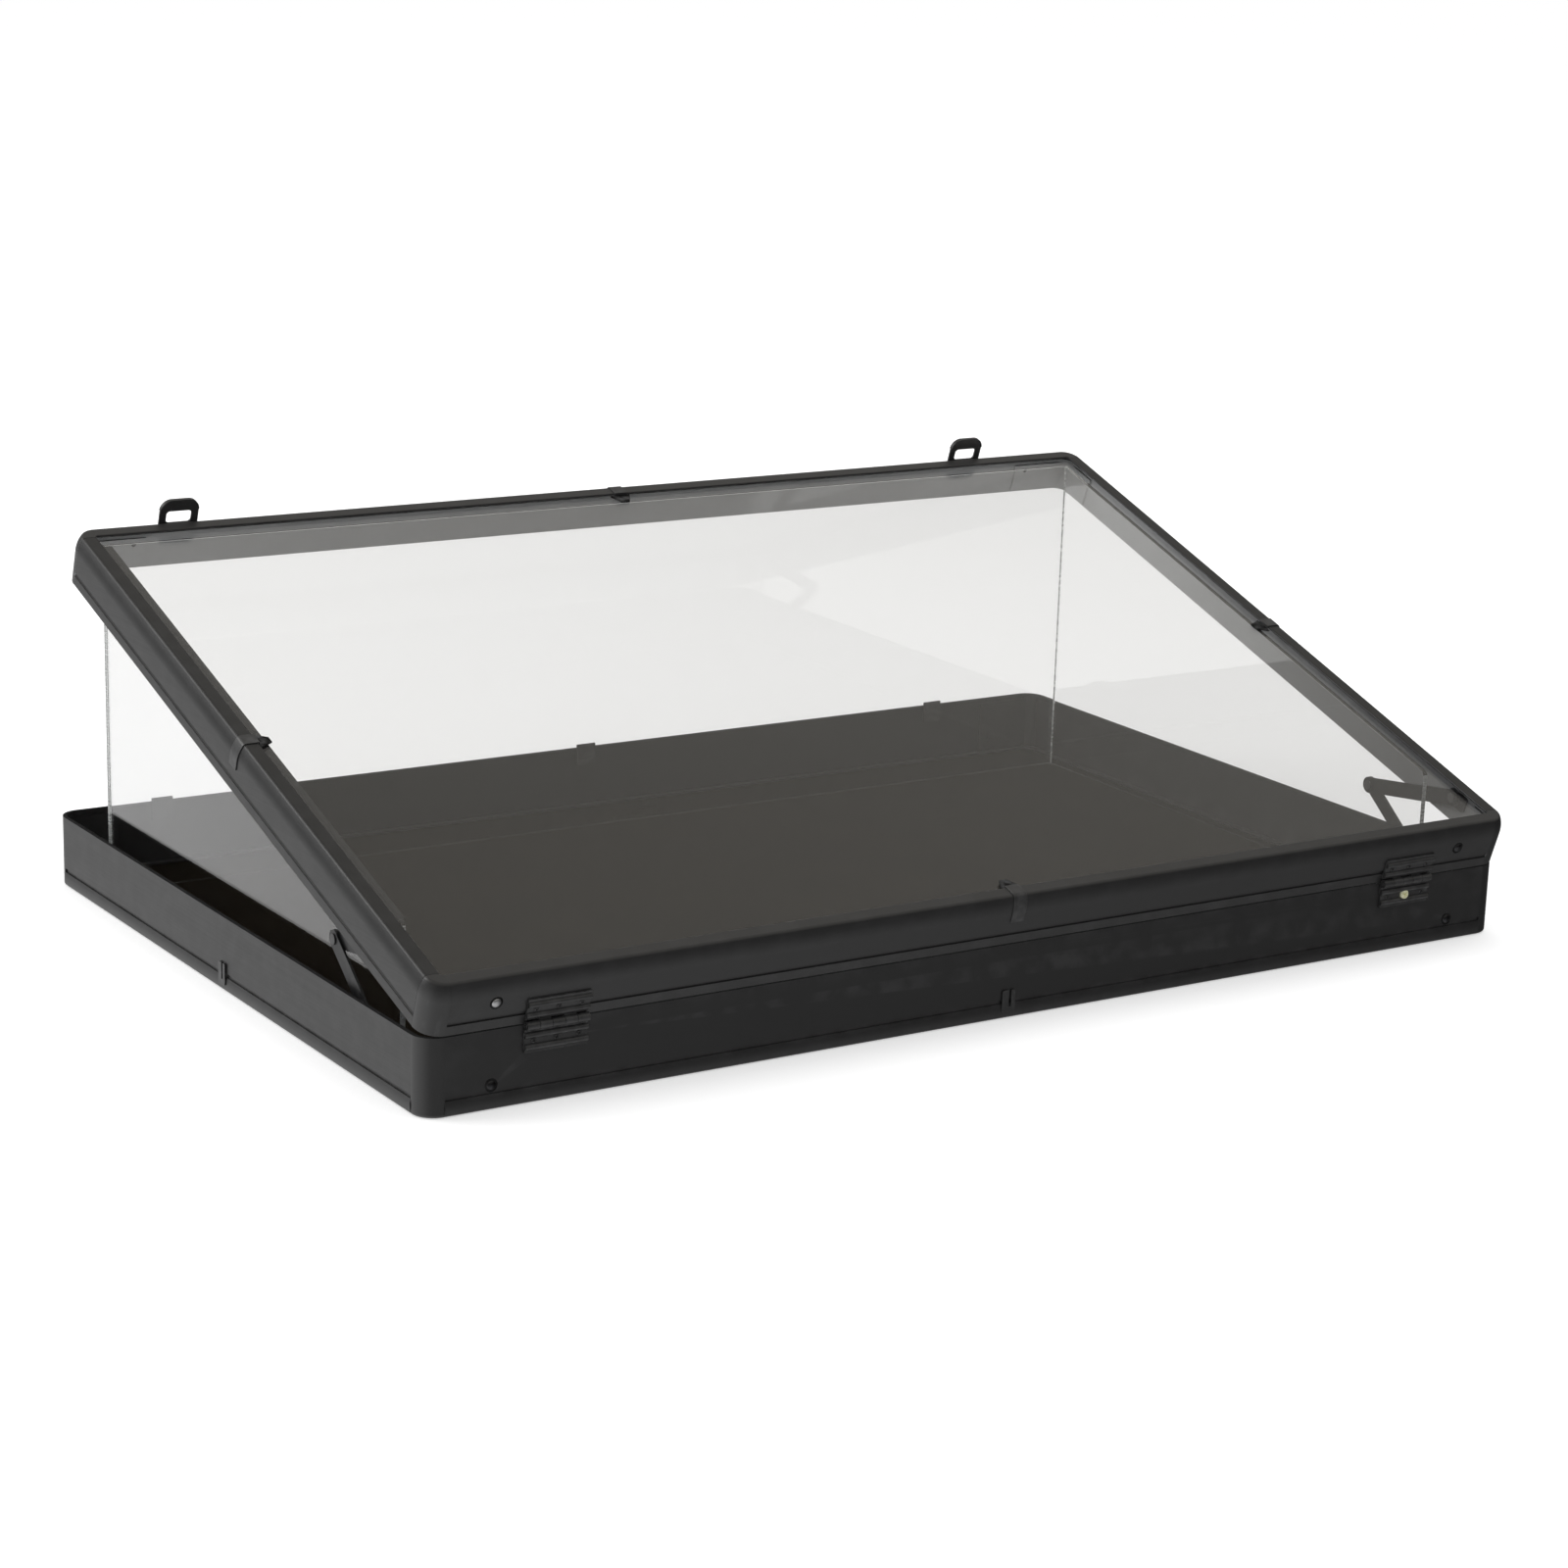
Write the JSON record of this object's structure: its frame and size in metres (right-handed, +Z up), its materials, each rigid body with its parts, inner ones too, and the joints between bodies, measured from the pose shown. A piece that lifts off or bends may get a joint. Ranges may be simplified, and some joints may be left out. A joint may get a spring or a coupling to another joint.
{
  "type": "tabletop display case",
  "caption": "Shallow black aluminium-framed display case with a clear tilted lid held up by clear side and back panels, front hinges, stays, hasps and a carrying handle.",
  "frame": {"origin": "on the table under the centre of the tray", "axes": "+Z up, front and hinges towards -Y, +X to the right along the case's width"},
  "size_m": [0.9108, 0.6326, 0.2953],
  "materials": {
    "black_anodised": "satin",
    "dark_rivet": "satin",
    "black_steel": "satin",
    "stay_steel": "satin",
    "brass": "gloss",
    "clear_panel": "gloss",
    "black_rubber": "matte",
    "black_board": "matte",
    "black_plastic": "satin"
  },
  "bodies": {
    "tray": {"tray_front_rail": "black_anodised", "tray_right_rail": "black_anodised", "tray_back_rail": "black_anodised", "tray_left_rail": "black_anodised", "tray_corner_front_left": "black_anodised", "tray_corner_front_right": "black_anodised", "tray_corner_back_right": "black_anodised", "tray_corner_back_left": "black_anodised", "tray_rivets": "dark_rivet", "tray_clips": "black_steel", "rim_tabs": "black_steel", "floor_board": "black_board", "left_panel": "clear_panel", "right_panel": "clear_panel", "back_panel": "clear_panel", "left_hinge_tray_leaf": "black_steel", "right_hinge_tray_leaf": "black_steel", "tray_hinge_screws": "black_steel", "brass_hinge_screw": "brass", "hinge_pins": "black_steel", "left_lock_plate": "black_steel", "right_lock_plate": "black_steel", "left_handle_bracket": "black_steel", "right_handle_bracket": "black_steel", "back_rivets": "black_steel", "left_stay_tray_pivot": "black_steel", "right_stay_tray_pivot": "black_steel"},
    "lid": {"left_stay_lid_pivot": "black_steel", "right_stay_lid_pivot": "black_steel", "lid_front_rail": "black_anodised", "lid_right_rail": "black_anodised", "lid_back_rail": "black_anodised", "lid_left_rail": "black_anodised", "lid_corner_front_left": "black_anodised", "lid_corner_front_right": "black_anodised", "lid_corner_back_right": "black_anodised", "lid_corner_back_left": "black_anodised", "lid_rivets": "dark_rivet", "lid_clips": "black_steel", "pane": "clear_panel", "glazing_seal": "black_rubber", "left_hinge_lid_leaf": "black_steel", "right_hinge_lid_leaf": "black_steel", "lid_hinge_screws": "black_steel", "left_hasp_plate": "black_steel", "right_hasp_plate": "black_steel", "hasp_rivets": "black_steel", "hasp_pins": "black_steel"},
    "left_hasp": {"left_hasp": "black_steel"},
    "right_hasp": {"right_hasp": "black_steel"},
    "handle": {"handle_bail": "black_steel", "handle_grip": "black_rubber"},
    "left_lower_link": {"left_stay_lower_link": "stay_steel", "left_stay_elbow_rivet": "stay_steel"},
    "left_upper_link": {"left_stay_upper_link": "stay_steel"},
    "right_lower_link": {"right_stay_lower_link": "stay_steel", "right_stay_elbow_rivet": "stay_steel"},
    "right_upper_link": {"right_stay_upper_link": "stay_steel"},
    "left_lock_button": {"left_lock_button": "black_plastic"},
    "right_lock_button": {"right_lock_button": "black_plastic"}
  },
  "joints": [
    {"name": "lid_hinge", "type": "hinge", "parent": "tray", "child": "lid", "pos_m": [0, -0.3063, 0.054], "axis": [1, 0, 0], "range_deg": [0, 62]},
    {"name": "left_stay_foot", "type": "hinge", "parent": "tray", "child": "left_lower_link", "pos_m": [-0.4469, -0.213, 0.042], "axis": [1, 0, 0], "range_deg": [0, 62]},
    {"name": "left_stay_elbow", "type": "hinge", "parent": "left_lower_link", "child": "left_upper_link", "pos_m": [-0.44595, -0.16252, 0.08164], "axis": [1, 0, 0], "range_deg": [-62, 0]},
    {"name": "left_hasp_swing", "type": "hinge", "parent": "lid", "child": "left_hasp", "pos_m": [-0.368, 0.27192, 0.25772], "axis": [-1, 0, 0], "range_deg": [0, 180]},
    {"name": "left_lock_press", "type": "slide", "parent": "tray", "child": "left_lock_button", "axis": [-1, 0, 0], "range_m": [0, 0.005], "stiffness_N_per_m": 60},
    {"name": "right_stay_foot", "type": "hinge", "parent": "tray", "child": "right_lower_link", "pos_m": [0.4469, -0.213, 0.042], "axis": [1, 0, 0], "range_deg": [0, 62]},
    {"name": "right_stay_elbow", "type": "hinge", "parent": "right_lower_link", "child": "right_upper_link", "pos_m": [0.44595, -0.16252, 0.08164], "axis": [1, 0, 0], "range_deg": [-62, 0]},
    {"name": "right_hasp_swing", "type": "hinge", "parent": "lid", "child": "right_hasp", "pos_m": [0.343, 0.27192, 0.25772], "axis": [-1, 0, 0], "range_deg": [0, 180]},
    {"name": "right_lock_press", "type": "slide", "parent": "tray", "child": "right_lock_button", "axis": [1, 0, 0], "range_m": [0, 0.005], "stiffness_N_per_m": 60},
    {"name": "handle_swing", "type": "hinge", "parent": "tray", "child": "handle", "pos_m": [0, 0.3125, 0.044], "axis": [1, 0, 0], "range_deg": [0, 90]}
  ],
  "couplings": [
    {"joint": "left_stay_foot", "follows": "lid_hinge", "ratio": 1},
    {"joint": "left_stay_elbow", "follows": "lid_hinge", "ratio": -1},
    {"joint": "right_stay_foot", "follows": "lid_hinge", "ratio": 1},
    {"joint": "right_stay_elbow", "follows": "lid_hinge", "ratio": -1}
  ]
}
